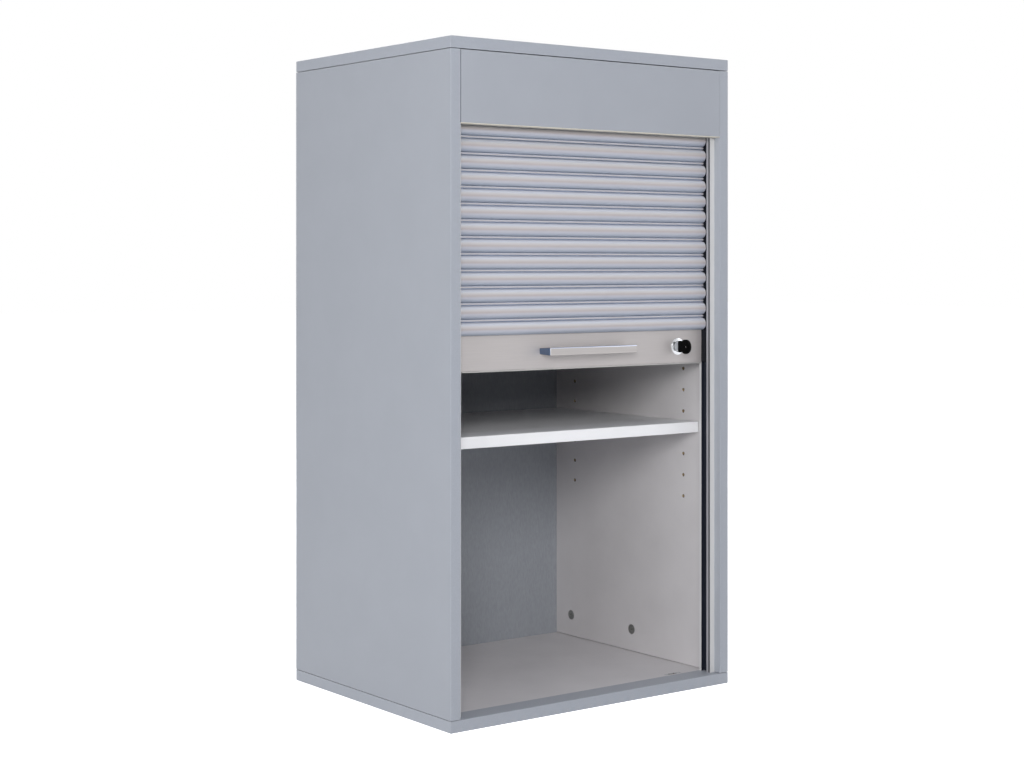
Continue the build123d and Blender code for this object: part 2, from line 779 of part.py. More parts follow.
save("side_panel_left", left_panel)
save("side_panel_right", right_panel)
save("top_panel", top_panel)
save("bottom_panel", bottom_panel)
save("back_panel", back_panel)
save("fascia", fascia)
save("head_floor", head_floor)
save("edge_bands", *edge_bands)
save("shelf", shelf)
save("shelf_edge_band", shelf_edge)
save("shelf_pins", *[side for pin in shelf_pins for side in both_sides(pin)])
save("cam_locks", *[side for cam in cams for side in both_sides(cam)])
save("cam_bolts", *[side for bolt in cam_bolts for side in both_sides(bolt)])
save("dowels", *[side for dowel in dowels for side in both_sides(dowel)])
save("guide_rail_left", left_guide)
save("guide_rail_right", right_guide)
save("track_liner_left", left_liner)
save("track_liner_right", right_liner)
save("guide_screws", *[side for screw in guide_screws for side in both_sides(screw)])
save("spiral_guide_left", left_spiral)
save("spiral_guide_right", right_spiral)
save("spiral_screws", *[side for screw in spiral_screws for side in both_sides(screw)])
save("shutter_slats", *slats)
save("slat_end_caps", *slat_caps)
save("shutter_roll", *roll)
save("roll_end_caps", *roll_caps)
save("bottom_rail", bottom_rail)
save("rail_end_left", left_end)
save("rail_end_right", right_end)
save("rail_seal", rail_seal)
save("pull_handle", handle)
save("handle_screws", *handle_screws)
save("lock_housing", housing)
save("lock_nut", lock_nut)
save("bolt_guide", bolt_guide)
save("lock_plug", plug)
save("lock_driver", lock_driver)
save("lock_bolt", lock_bolt)
save("strike_plate", strike_plate)
save("strike_screws", *strike_screws)
save("key_blade", blade)
save("key_bow", key_bow)

print("shutter travel down", close_travel, "up", open_travel)
print("straight slats", len(slats), "slats in the spiral", len(roll), "curtain ends at", travel)
print("bolt stroke", round(bolt_stroke, 3), "per radian", round(bolt_stroke / (pi / 2), 5))
print("rail back", rail_back, "bolt", bolt_front, bolt_back, "spiral back", spiral_back)
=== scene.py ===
# File cupboard with a roller shutter: its finishes and finer pieces, in metres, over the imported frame
import bpy
import bmesh
import json
from math import ceil, cos, pi, radians, sin
from mathutils import Matrix, Vector


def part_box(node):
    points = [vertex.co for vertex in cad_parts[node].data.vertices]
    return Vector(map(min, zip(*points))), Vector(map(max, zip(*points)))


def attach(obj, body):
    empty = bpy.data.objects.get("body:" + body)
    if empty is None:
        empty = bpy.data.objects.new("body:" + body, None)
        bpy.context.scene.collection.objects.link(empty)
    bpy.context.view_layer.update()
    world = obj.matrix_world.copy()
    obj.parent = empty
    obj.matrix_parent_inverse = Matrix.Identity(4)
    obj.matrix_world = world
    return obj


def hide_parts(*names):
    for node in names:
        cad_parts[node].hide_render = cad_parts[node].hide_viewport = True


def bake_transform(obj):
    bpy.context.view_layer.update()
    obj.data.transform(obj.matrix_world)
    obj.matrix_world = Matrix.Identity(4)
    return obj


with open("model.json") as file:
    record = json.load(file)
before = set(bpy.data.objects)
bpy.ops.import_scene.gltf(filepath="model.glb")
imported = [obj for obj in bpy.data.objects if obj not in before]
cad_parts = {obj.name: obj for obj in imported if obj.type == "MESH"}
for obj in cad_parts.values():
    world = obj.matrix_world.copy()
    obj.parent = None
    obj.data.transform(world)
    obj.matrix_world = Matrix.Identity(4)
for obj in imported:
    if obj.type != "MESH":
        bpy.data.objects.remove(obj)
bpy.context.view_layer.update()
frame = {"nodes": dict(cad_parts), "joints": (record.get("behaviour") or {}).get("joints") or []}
nodes = frame["nodes"]
print("frame loaded,", len(nodes), "nodes")

mm = 0.001
mergeDistance = 0.002 * mm  # vertices nearer than this become one
flatAngle = radians(0.5)  # and so do faces that bend less than this
flush = 0.05 * mm  # a point this near to a plane lies in it
square = 0.99  # a normal with this much of its length along an axis lies along it


# Colours and nodes

def linearColour(hexValue):
    parts = [int(hexValue[i:i + 2], 16) / 255 for i in (1, 3, 5)]
    return [c / 12.92 if c <= 0.04045 else ((c + 0.055) / 1.055) ** 2.4 for c in parts] + [1.0]


def addNode(tree, kind, settings={}, links={}):
    node = tree.nodes.new(kind)
    for name, value in settings.items():
        if isinstance(name, int) or name in node.inputs:
            node.inputs[name].default_value = value
        else:
            setattr(node, name, value)
    for name, socket in links.items():
        tree.links.new(socket, node.inputs[name])
    return node


def newFinish(name, settings):
    finish = bpy.data.materials.new(name)
    finish.use_nodes = True
    tree = finish.node_tree
    shader = tree.nodes["Principled BSDF"]
    for socket, value in settings.items():
        shader.inputs[socket].default_value = value
    return finish, tree, shader


def grain(tree, size, stretch=(1, 1, 1), detail=2.0):  # noise whose blobs are about this many mm
    place = addNode(tree, "ShaderNodeTexCoord")
    mapping = addNode(tree, "ShaderNodeMapping", {"Scale": [1 / s for s in stretch]},
                      {"Vector": place.outputs["Object"]})
    return addNode(tree, "ShaderNodeTexNoise", {"Scale": 1 / (size * mm), "Detail": detail},
                   {"Vector": mapping.outputs["Vector"]})


def twoTones(tree, shader, factor, darker, lighter, low=0.35, high=0.65):
    spread = addNode(tree, "ShaderNodeMapRange", {"From Min": low, "From Max": high}, {"Value": factor})
    tone = addNode(tree, "ShaderNodeMix", {"data_type": "RGBA", 6: linearColour(darker),
                                           7: linearColour(lighter)}, {0: spread.outputs["Result"]})
    tree.links.new(tone.outputs[2], shader.inputs["Base Color"])


def gloss(tree, shader, factor, low, high):  # low and high are roughness
    spread = addNode(tree, "ShaderNodeMapRange", {"From Min": 0.3, "From Max": 0.7, "To Min": low,
                                                  "To Max": high}, {"Value": factor})
    tree.links.new(spread.outputs["Result"], shader.inputs["Roughness"])


def relief(tree, shader, factor, depth, strength):  # depth in mm
    bump = addNode(tree, "ShaderNodeBump", {"Strength": strength, "Distance": depth * mm},
                   {"Height": factor})
    tree.links.new(bump.outputs["Normal"], shader.inputs["Normal"])


# Finishes

upright, sideways, even = (1, 1, 200), (2000, 1, 1), (1, 1, 1)  # how far a die draws its lines out


def melamineFinish(name, darker, lighter):
    # Decor paper pressed in melamine resin against a pearl-textured plate: matt, with a fine grain
    finish, tree, shader = newFinish(name, {"IOR": 1.5})
    pearl = grain(tree, 1.1)  # the plate's 0.3 mm pearl, drawn coarser so that it shows
    cloud = grain(tree, 70, detail=3.0)
    twoTones(tree, shader, cloud.outputs["Fac"], darker, lighter)
    gloss(tree, shader, pearl.outputs["Fac"], 0.44, 0.56)
    relief(tree, shader, pearl.outputs["Fac"], 0.02, 0.5)
    return finish


def chipboardFinish():
    # Wood chips pressed with resin and sawn through: tan, with flat chips 2 to 6 mm long in the edge
    finish, tree, shader = newFinish("sawn chipboard", {"Roughness": 0.85})
    place = addNode(tree, "ShaderNodeTexCoord")
    chips = addNode(tree, "ShaderNodeTexVoronoi", {"Scale": 1 / (2.5 * mm)},
                    {"Vector": place.outputs["Object"]})
    rough = grain(tree, 0.8)
    blend = addNode(tree, "ShaderNodeMix", {"data_type": "FLOAT", 0: 0.35},
                    {2: chips.outputs["Color"], 3: rough.outputs["Fac"]})
    twoTones(tree, shader, blend.outputs[0], "#8a755a", "#c3ad8b", 0.15, 0.85)
    relief(tree, shader, blend.outputs[0], 0.25, 0.6)
    return finish


def jointShadeFinish():
    # Painted shade on the sawn ends that butt against other boards, for the dark joint lines: dark and dull,
    # a little streaked
    finish, tree, shader = newFinish("painted shade on the joint ends", {"Roughness": 0.8})
    streaks = grain(tree, 1.5, (1, 6, 1))
    twoTones(tree, shader, streaks.outputs["Fac"], "#2c2e33", "#383a40")
    return finish


def edgingFinish(name, darker, lighter):
    # Extruded ABS edging, scraped round at its outer corners: a little glossier than the board
    finish, tree, shader = newFinish(name, {"IOR": 1.52})
    pearl = grain(tree, 0.9)
    twoTones(tree, shader, pearl.outputs["Fac"], darker, lighter)
    gloss(tree, shader, pearl.outputs["Fac"], 0.34, 0.44)
    relief(tree, shader, pearl.outputs["Fac"], 0.01, 0.4)
    return finish


def hardboardFinish():
    # Pressed wood fibre with a roller-coated lacquer: flat grey, with fibres that show through
    finish, tree, shader = newFinish("lacquered hardboard", {"IOR": 1.48})
    fibres = grain(tree, 1.6, (1, 1, 4), 4.0)
    twoTones(tree, shader, fibres.outputs["Fac"], "#93979e", "#a0a4aa", 0.3, 0.7)
    gloss(tree, shader, fibres.outputs["Fac"], 0.55, 0.7)
    relief(tree, shader, fibres.outputs["Fac"], 0.05, 0.5)
    return finish


def pvcFinish(name, darker, lighter, along, low=0.36, high=0.48):
    # Extruded PVC: satin, with faint lines that the die draws along its length
    finish, tree, shader = newFinish(name, {"IOR": 1.53})
    lines = grain(tree, 0.7, along)
    twoTones(tree, shader, lines.outputs["Fac"], darker, lighter)
    gloss(tree, shader, lines.outputs["Fac"], low, high)
    relief(tree, shader, lines.outputs["Fac"], 0.01, 0.5)
    return finish


def slatFinish():
    # Extruded PVC in a sprayed silver lacquer: satin, with painted light and shade by the way each face
    # turns: lighter and cooler facing up, warm facing forward, darker and cooler facing down
    finish, tree, shader = newFinish("silver lacquered PVC, painted light and shade", {"Metallic": 0.1, "IOR": 1.45})
    place = addNode(tree, "ShaderNodeTexCoord")
    turned = addNode(tree, "ShaderNodeSeparateXYZ", {}, {"Vector": place.outputs["Normal"]})
    # 0 where the surface faces down, and 1 where it faces up; the painted light and shade follow this
    paintedLightFactor = addNode(tree, "ShaderNodeMapRange", {"From Min": -1.0, "From Max": 1.0},
                     {"Value": turned.outputs["Z"]})
    tone = addNode(tree, "ShaderNodeValToRGB", {}, {"Fac": paintedLightFactor.outputs["Result"]})
    paintedShadeBelow, paintedLightAbove = tone.color_ramp.elements
    paintedShadeBelow.position, paintedShadeBelow.color = 0.08, linearColour("#a9b1c0")
    paintedLightAbove.position, paintedLightAbove.color = 0.82, linearColour("#d2d4dd")
    # the tones in between, warm where the surface faces forward: painted light
    for position, colour in ((0.34, "#bdbec8"), (0.5, "#b9b1b1"), (0.68, "#c9c7c8")):
        tone.color_ramp.elements.new(position).color = linearColour(colour)
    tree.links.new(tone.outputs["Color"], shader.inputs["Base Color"])
    lines = grain(tree, 0.6, sideways, 0.0)
    gloss(tree, shader, lines.outputs["Fac"], 0.42, 0.50)
    return finish


def aluminiumFinish(name, darker, lighter, low, high, metallic=1.0):
    # Extruded aluminium, fine ground along its length and anodised: a soft sheen with long hairlines
    finish, tree, shader = newFinish(name, {"Metallic": metallic})
    hairlines = grain(tree, 0.35, (160, 1, 1), 3.0)
    twoTones(tree, shader, hairlines.outputs["Fac"], darker, lighter)
    gloss(tree, shader, hairlines.outputs["Fac"], low, high)
    relief(tree, shader, hairlines.outputs["Fac"], 0.004, 0.5)
    return finish


def polyamideFinish(name, darker, lighter, shine=0.1):
    # Injection-moulded polyamide against a spark-eroded mould: near black, with a fine dull texture
    finish, tree, shader = newFinish(name, {"IOR": 1.53, "Specular IOR Level": shine})
    sparks = grain(tree, 0.35)
    twoTones(tree, shader, sparks.outputs["Fac"], darker, lighter)
    gloss(tree, shader, sparks.outputs["Fac"], 0.38, 0.52)
    relief(tree, shader, sparks.outputs["Fac"], 0.02, 0.5)
    return finish


def metalFinish(name, darker, lighter, size, low, high, depth, metallic=1.0):
    # Metal whose tone and gloss vary a little over its surface, as plating and casting leave it
    finish, tree, shader = newFinish(name, {"Metallic": metallic})
    patches = grain(tree, size)
    twoTones(tree, shader, patches.outputs["Fac"], darker, lighter)
    gloss(tree, shader, patches.outputs["Fac"], low, high)
    relief(tree, shader, patches.outputs["Fac"], depth, 0.4)
    return finish


def beechFinish():
    # Turned beech with pressed flutes: pale, with short darker flecks along the grain
    finish, tree, shader = newFinish("fluted beech", {"Roughness": 0.7})
    flecks = grain(tree, 0.5, (1, 1, 8), 3.0)
    twoTones(tree, shader, flecks.outputs["Fac"], "#b98f62", "#d8b68a")
    relief(tree, shader, flecks.outputs["Fac"], 0.05, 0.5)
    return finish


def softSealFinish():
    # Soft PVC seal: light grey and dull, with a slight bloom
    finish, tree, shader = newFinish("soft PVC seal", {"Roughness": 0.6, "Sheen Weight": 0.15})
    bloom = grain(tree, 2.0, (20, 1, 1))
    twoTones(tree, shader, bloom.outputs["Fac"], "#b5b3b1", "#c2c0be")
    return finish


platinumBoard = melamineFinish("platinum melamine board", "#a4a8b0", "#a6aab2")
whiteBoard = melamineFinish("white melamine board", "#e4e4e6", "#eaeaec")
# a lighter melamine for the inner faces behind the guides: painted light in the compartments
paintedLightInsideBoard = melamineFinish("melamine inside, painted light", "#cfcccd", "#d4d1d2")
chipboard = chipboardFinish()
paintedJointShade = jointShadeFinish()
platinumEdging = edgingFinish("platinum ABS edging", "#a1a5ae", "#a8adb6")
whiteEdging = edgingFinish("white ABS edging", "#f9f9fb", "#fefeff")
# pale cream for the strip under the fascia: painted light on its underside
paintedLightEdging = edgingFinish("cream edging, painted light under the fascia", "#dbd6c8", "#e3ded0")
hardboard = hardboardFinish()
guidePvc = pvcFinish("light grey PVC guide", "#d6d5d5", "#dbdada", upright)
# darker tones for the guide's lip and shadow groove: painted shade
paintedShadeLipPvc = pvcFinish("guide lip, painted shade", "#a3a2a7", "#aaa9ae", upright)
paintedShadeGroovePvc = pvcFinish("painted shade in the shadow groove", "#5c5d62", "#64656a", upright)
spiralPvc = pvcFinish("grey moulded guide plate", "#bfbfc1", "#c8c8ca", even)
slatPvc = slatFinish()
# pale blue for the web, deep in the shade between the slats: painted light and cool shade
paintedLightWebPvc = pvcFinish("cool grey PVC between the slats", "#c4cde2", "#cdd6ea", sideways, 0.5, 0.6)
# the liner is black PVC, and its black also stands in for the shade deep in the guide's slot: painted shade
blackLinerAndSlotShade = pvcFinish("black PVC track liner, painted shade in the slot", "#171b27", "#1e2330", upright)
blackPolyamide = polyamideFinish("black moulded polyamide", "#14161c", "#1b1d23")
keyPolyamide = polyamideFinish("black key plastic", "#060606", "#0a0a0a", 0.02)
railAluminium = aluminiumFinish("satin anodised rail", "#b5b0af", "#bcb7b6", 0.42, 0.52, 0.3)
handleAluminium = aluminiumFinish("satin anodised handle", "#a6a2a1", "#afabaa", 0.32, 0.42)
# a lighter, bluer tone for the handle's upper edges: painted highlight
paintedHighlightEdges = aluminiumFinish("aluminium upper edges, painted highlight", "#bec4d4", "#c8cddc", 0.25, 0.35)
# a steel blue for the handle's ends: painted dark reflection
paintedReflectionEnds = aluminiumFinish("aluminium ends, painted dark reflection", "#62728a", "#6a7a93", 0.45, 0.60)
chrome = metalFinish("polished chrome plate", "#c8cace", "#d3d5d8", 4.0, 0.14, 0.2, 0.001)
nickel = metalFinish("satin nickel plated brass", "#d2d4da", "#dadce1", 1.5, 0.45, 0.55, 0.004, 0.3)
zincPlate = metalFinish("bright zinc plated steel", "#b4b6ba", "#c2c4c8", 3.0, 0.25, 0.38, 0.004)
zincCasting = metalFinish("zinc die casting", "#9c9c98", "#adaca8", 1.2, 0.40, 0.55, 0.02)
beech = beechFinish()
sealPvc = softSealFinish()
print("finishes made")


# Pieces

curve = {"widest": 2.4, "least": 1, "most": 35}  # mm across a facet, and degrees from one to the next


def smoothCurves(shape):  # narrow facets that bend gently are parts of curved surfaces
    least, most = radians(curve["least"]), radians(curve["most"])
    for face in shape.faces:
        bends = [e.calc_face_angle(0) for e in face.edges if len(e.link_faces) == 2]
        narrow = 2 * face.calc_area() / face.calc_perimeter() < curve["widest"] * mm
        face.smooth = narrow and any(least < bend < most for bend in bends)
    for edge in shape.edges:
        edge.smooth = all(f.smooth for f in edge.link_faces) and edge.calc_face_angle(0) < most


def newMesh(name, shape, finishes):
    mesh = bpy.data.meshes.new(name)
    shape.to_mesh(mesh)
    shape.free()
    for finish in finishes:
        mesh.materials.append(finish)
    return mesh


def addObject(name, data):
    added = bpy.data.objects.new(name, data)
    bpy.context.scene.collection.objects.link(added)
    return added


def finishPiece(name, shape, body, finishes, replaced):  # body is None where the piece is left without a body
    smoothCurves(shape)
    piece = addObject(name, newMesh(name, shape, finishes))
    if body:
        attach(piece, body)
    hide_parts(replaced)
    return piece


def cleanFaces(shape):  # merges doubled vertices, and faces that lie in one plane
    bmesh.ops.remove_doubles(shape, verts=shape.verts, dist=mergeDistance)
    bmesh.ops.dissolve_limit(shape, angle_limit=flatAngle, verts=shape.verts, edges=shape.edges)


def nodeCopy(nodeName):
    shape = bmesh.new()
    shape.from_mesh(nodes[nodeName].data)
    cleanFaces(shape)
    return shape


def addBlock(shape, low, high):  # a block between two corners
    place = Matrix.Translation((low + high) / 2) @ Matrix.Diagonal((*(high - low), 1))
    return bmesh.ops.create_cube(shape, size=1, matrix=place)["verts"]


def cutFaces(shape, point, normal):  # splits the faces where they cross a plane
    bmesh.ops.bisect_plane(shape, geom=shape.verts[:] + shape.edges[:] + shape.faces[:],
                           plane_co=point, plane_no=normal)


def sharpEdges(shape, angle=40):
    return [e for e in shape.edges if len(e.link_faces) == 2 and e.calc_face_angle(0) > radians(angle)]


def softenEdges(shape, edges, width, segments=3):  # width in mm
    return bmesh.ops.bevel(shape, geom=edges, offset=width * mm, offset_type="OFFSET", segments=segments,
                           profile=0.5, affect="EDGES", clamp_overlap=True, material=-1)["faces"]


def facing(normal):
    axis = max(range(3), key=lambda i: abs(normal[i]))
    return ("-" if normal[axis] < 0 else "+") + "xyz"[axis]


# Boards: melamine on the two faces across the board, raw core on the rest, and painted shade on the ends at
# the joints

# across is the axis through the board, soft the rounding of its corners and joints how far it stays back
# from its neighbours, both in mm; the last key names the face that gets painted light, a lighter tone behind
# the guides
sideJoints = {"-z": 0.7, "+z": 0.8}
boards = {
    "side_panel_left": {"across": 0, "soft": 0.35, "finish": platinumBoard, "slot": "carcass_board",
                        "joints": sideJoints, "paintedLightSide": "+x"},
    "side_panel_right": {"across": 0, "soft": 0.35, "finish": platinumBoard, "slot": "carcass_board",
                         "joints": sideJoints, "paintedLightSide": "-x"},
    "top_panel": {"across": 2, "soft": 0.2, "finish": platinumBoard, "slot": "carcass_board"},
    "bottom_panel": {"across": 2, "soft": 0.2, "finish": platinumBoard, "slot": "carcass_board",
                     "paintedLightSide": "+z"},
    "fascia": {"across": 1, "soft": 0.25, "finish": platinumBoard, "slot": "carcass_board",
               "joints": {"-x": 0.5, "+x": 0.5, "+z": 1.1}},
    "head_floor": {"across": 2, "soft": 0.25, "finish": platinumBoard, "slot": "carcass_board",
                   "paintedLightSide": "-z"},
    "back_panel": {"across": 1, "soft": 0.2, "finish": hardboard, "slot": "back_board"},
    "shelf": {"across": 2, "soft": 0.25, "finish": whiteBoard, "slot": "shelf_board"},
}
core, paintedLightFace, shadedJointEnd = 1, 2, 3  # places in a board's list of finishes, after its melamine
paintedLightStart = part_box("guide_rail_left")[1].y


def boardBox(boardName):  # the board's two corners, drawn back at its joints
    low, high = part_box(boardName)
    for side, gap in boards[boardName].get("joints", {}).items():
        axis = "xyz".index(side[1])
        if side[0] == "-":
            low[axis] += gap * mm
        else:
            high[axis] -= gap * mm
    return low, high


def makeBoard(nodeName, board):
    shape = nodeCopy(nodeName)
    low, high = boardBox(nodeName)
    for vert in shape.verts:
        vert.co = [min(max(value, bottom), top) for value, bottom, top in zip(vert.co, low, high)]
    if "paintedLightSide" in board:
        cutFaces(shape, (0, paintedLightStart, 0), (0, 1, 0))
    axis, joints = board["across"], board.get("joints", {})
    for face in shape.faces:
        middle, side = face.calc_center_median(), facing(face.normal)
        depth = min(middle[axis] - low[axis], high[axis] - middle[axis])
        if depth > flush or abs(face.normal[axis]) < square:
            # sawn ends at the joints get painted shade, and the other sawn faces show the raw core
            face.material_index = shadedJointEnd if side in joints else core
        # behind the guides this face gets painted light, a lighter melamine
        elif side == board.get("paintedLightSide") and middle.y > paintedLightStart:
            face.material_index = paintedLightFace
    corners = [e for e in sharpEdges(shape)
               if len({f.material_index in (core, shadedJointEnd) for f in e.link_faces}) == 2]
    softenEdges(shape, corners, board["soft"])
    finishPiece(nodeName + "_board", shape, "carcass",
                (board["finish"], chipboard, paintedLightInsideBoard, paintedJointShade), nodeName)


for nodeName, board in boards.items():
    makeBoard(nodeName, board)
print("boards made")


# Edge bands: strips glued to the boards' edges, rounded wherever two free faces meet

edging = {"thick": 1.0, "round": 0.6, "steps": 4}

strips = {  # each strip's board, the side that it covers, and its own faces that are glued or butted
    "edge_bands": [("fascia", "-z", "+z -x +x"), ("head_floor", "-y", "+y -x +x"),
                   ("side_panel_left", "-y", "+y -z +z"), ("side_panel_right", "-y", "+y -z +z"),
                   ("top_panel", "-y", "+y"), ("bottom_panel", "-y", "+y"),
                   ("top_panel", "-x", "+x -y"), ("bottom_panel", "-x", "+x -y"),
                   ("top_panel", "+x", "-x -y"), ("bottom_panel", "+x", "-x -y")],
    "shelf_edge_band": [("shelf", "-y", "+y")],
}
stripFinishes = {"edge_bands": (platinumEdging, "edging"), "shelf_edge_band": (whiteEdging, "shelf_edging")}
paintedLightUnder = "fascia"  # the strip under this board is pale cream: painted light on the fascia's underside


def makeStrips(nodeName):
    shape = bmesh.new()
    rounded = []
    nodeLow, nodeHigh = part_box(nodeName)
    for boardName, side, held in strips[nodeName]:
        low, high = boardBox(boardName)
        axis = "xyz".index(side[1])
        if side[0] == "-":
            low[axis], high[axis] = low[axis] - edging["thick"] * mm, low[axis]
        else:
            low[axis], high[axis] = high[axis], high[axis] + edging["thick"] * mm
        if side == "-y" and boardName in ("top_panel", "bottom_panel"):
            low.x, high.x = nodeLow.x, nodeHigh.x  # the front strip covers the ends of the side strips
        corners = addBlock(shape, low, high)
        shape.normal_update()
        for face in shape.faces:
            if boardName == paintedLightUnder and face.verts[0] in corners:
                face.material_index = 1  # cream: painted light
        rounded += [e for e in shape.edges if e.verts[0] in corners
                    and not any(facing(f.normal) in held for f in e.link_faces)]
    softenEdges(shape, rounded, edging["round"], edging["steps"])
    finish, slot = stripFinishes[nodeName]
    finishPiece(nodeName + "_strips", shape, "carcass", (finish, paintedLightEdging), nodeName)


for nodeName in strips:
    makeStrips(nodeName)
print("edge bands made")


# Guides: the shadow groove and the lip behind it get painted shade, darker than the front

guide = {"groove": 3.6, "lip": 7.2, "soft": 0.25}  # groove and lip end this deep behind the front


def makeGuide(nodeName):
    shape = nodeCopy(nodeName)
    low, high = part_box(nodeName)
    for face in shape.faces:
        middle = face.calc_center_median()
        depth = middle.y - low.y
        atWall = min(middle.x - low.x, high.x - middle.x) < flush
        if flush < depth < guide["groove"] * mm and abs(face.normal.z) < square:
            face.material_index = 1  # painted shade, dark
        elif atWall and depth < guide["lip"] * mm:
            face.material_index = 2  # painted shade, grey
    softenEdges(shape, sharpEdges(shape), guide["soft"])
    finishPiece(nodeName + "_finished", shape, "carcass", (guidePvc, paintedShadeGroovePvc, paintedShadeLipPvc),
                nodeName)


makeGuide("guide_rail_left")
makeGuide("guide_rail_right")
print("guides made")


# Fittings, rail and plug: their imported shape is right, and only its corners are broken

fittings = {
    "track_liner_left": {"body": "carcass", "soft": 0.15, "finish": blackLinerAndSlotShade, "slot": "liner_plastic"},
    "track_liner_right": {"body": "carcass", "soft": 0.15, "finish": blackLinerAndSlotShade, "slot": "liner_plastic"},
    "cam_locks": {"body": "carcass", "soft": 0.3, "finish": zincCasting, "slot": "fitting_zinc"},
    "shelf_pins": {"body": "carcass", "soft": 0.4, "finish": zincPlate, "slot": "fitting_steel"},
    "guide_screws": {"body": "carcass", "soft": 0.1, "finish": zincPlate, "slot": "fitting_steel"},
    "strike_plate": {"body": "carcass", "soft": 0.2, "finish": zincPlate, "slot": "fitting_steel"},
    "strike_screws": {"body": "carcass", "soft": 0.2, "finish": zincPlate, "slot": "fitting_steel"},
    "bottom_rail": {"body": "shutter", "soft": 0.25, "finish": railAluminium, "slot": "rail_aluminium"},
    "rail_end_left": {"body": "shutter", "soft": 0.3, "finish": blackPolyamide, "slot": "liner_plastic"},
    "rail_end_right": {"body": "shutter", "soft": 0.3, "finish": blackPolyamide, "slot": "liner_plastic"},
    "rail_seal": {"body": "shutter", "soft": 0.5, "finish": sealPvc, "slot": "rail_sealing"},
    "handle_screws": {"body": "shutter", "soft": 0.3, "finish": zincPlate, "slot": "fitting_steel"},
    "lock_nut": {"body": "shutter", "soft": 0.2, "finish": nickel, "slot": "lock_brass"},
    "lock_plug": {"body": "lock_barrel", "soft": 0.25, "finish": nickel, "slot": "lock_brass"},
    "lock_bolt": {"body": "deadbolt", "soft": 0.2, "finish": zincPlate, "slot": "fitting_steel"},
    "key_blade": {"body": "key", "soft": 0.12, "finish": zincPlate, "slot": "lock_chrome"},
}

for nodeName, fitting in fittings.items():
    shape = nodeCopy(nodeName)
    softenEdges(shape, sharpEdges(shape), fitting["soft"])
    finishPiece(nodeName + "_finished", shape, fitting["body"], (fitting["finish"],),
                nodeName)
print("fittings made")

keptNodes = {  # hidden pieces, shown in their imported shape
    "cam_bolts": zincPlate, "dowels": beech, "spiral_guide_left": spiralPvc,
    "spiral_guide_right": spiralPvc, "spiral_screws": zincPlate, "shutter_roll": slatPvc,
    "roll_end_caps": blackPolyamide, "bolt_guide": blackPolyamide, "lock_driver": zincPlate,
}

for nodeName, finish in keptNodes.items():
    nodes[nodeName].data.materials.clear()
    nodes[nodeName].data.materials.append(finish)
print("hidden pieces finished")


# Curtain: enough slats for the closed shutter, with those beyond the curtain at rest waiting one inside
# another

slat = {"pitch": 22.5, "radius": 8.7, "straight": 2.3, "lip": 0.2, "wall": 0.2, "nestStep": 0.2,
        "webFront": 1.7, "webBack": 0.4, "ribRadius": 1.4, "ribSide": 2.7, "ribHeight": 20.2,
        "hookHeight": 24.5, "hookReach": 1.8, "arcSteps": 28, "ribSteps": 6}
cap = {"plate": 1.2, "pinRadius": 4.7, "pinLength": 7.1, "pinBack": 5.85, "clearance": 0.3, "sides": 32}

slideJoint = next(j for j in frame["joints"] if j["name"] == "shutter_slide")
downTravel, upTravel = [abs(limit) for limit in slideJoint["range_m"]]
curtainLow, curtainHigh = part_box("shutter_slats")
curtainBack = curtainHigh.y + slat["webBack"] * mm  # depths in a slat are measured from this plane
slatCount = ceil((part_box("fascia")[0].z - curtainLow.z + downTravel) / (slat["pitch"] * mm))


def extendLine(shape, vert, dy, dz):
    made = bmesh.ops.extrude_vert_indiv(shape, verts=[vert])["verts"][0]
    made.co += Vector((0, dy * mm, dz * mm))
    return made


def turnLine(shape, vert, centreY, centreZ, steps):  # half a turn, round the front
    made = bmesh.ops.spin(shape, geom=[vert], cent=(vert.co.x, centreY, centreZ), axis=(1, 0, 0),
                          angle=-pi, steps=steps, use_duplicate=False)
    return [item for item in made["geom_last"] if isinstance(item, bmesh.types.BMVert)][0]


def slatShape(low, level):  # one line round the slat's section, drawn out along the cupboard's width
    shape = bmesh.new()
    inset = level * slat["nestStep"]
    bulge = curtainBack - slat["straight"] * mm
    start = bmesh.ops.create_vert(shape, co=(curtainLow.x, bulge + slat["lip"] * mm, low + inset * mm))
    line = extendLine(shape, start["vert"][0], -slat["lip"], 0)
    line = turnLine(shape, line, bulge, low + slat["radius"] * mm, slat["arcSteps"])
    line = extendLine(shape, line, slat["straight"] - slat["webFront"] + inset, 0)
    ribLow = slat["ribHeight"] - slat["ribRadius"]
    line = extendLine(shape, line, 0, ribLow - 2 * slat["radius"] + inset)
    line = extendLine(shape, line, -slat["ribSide"], 0)
    line = turnLine(shape, line, line.co.y, low + slat["ribHeight"] * mm, slat["ribSteps"])
    line = extendLine(shape, line, slat["ribSide"], 0)
    line = extendLine(shape, line, 0, slat["hookHeight"] - ribLow - 2 * slat["ribRadius"])
    extendLine(shape, line, -slat["hookReach"], 0)
    drawn = bmesh.ops.extrude_edge_only(shape, edges=shape.edges[:])["geom"]
    far = [item for item in drawn if isinstance(item, bmesh.types.BMVert)]
    bmesh.ops.translate(shape, verts=far, vec=(curtainHigh.x - curtainLow.x, 0, 0))
    bmesh.ops.recalc_face_normals(shape, faces=shape.faces)
    bmesh.ops.solidify(shape, geom=shape.faces[:], thickness=slat["wall"] * mm)
    bmesh.ops.recalc_face_normals(shape, faces=shape.faces)
    webFront = curtainBack - slat["webFront"] * mm + inset * mm
    for face in shape.faces:  # the web gets painted light and cool shade, a pale blue tone between the bulges
        atWeb = abs(face.calc_center_median().y - webFront) < 2 * slat["wall"] * mm
        face.material_index = 1 if atWeb and abs(face.normal.y) > square else 0
    return shape


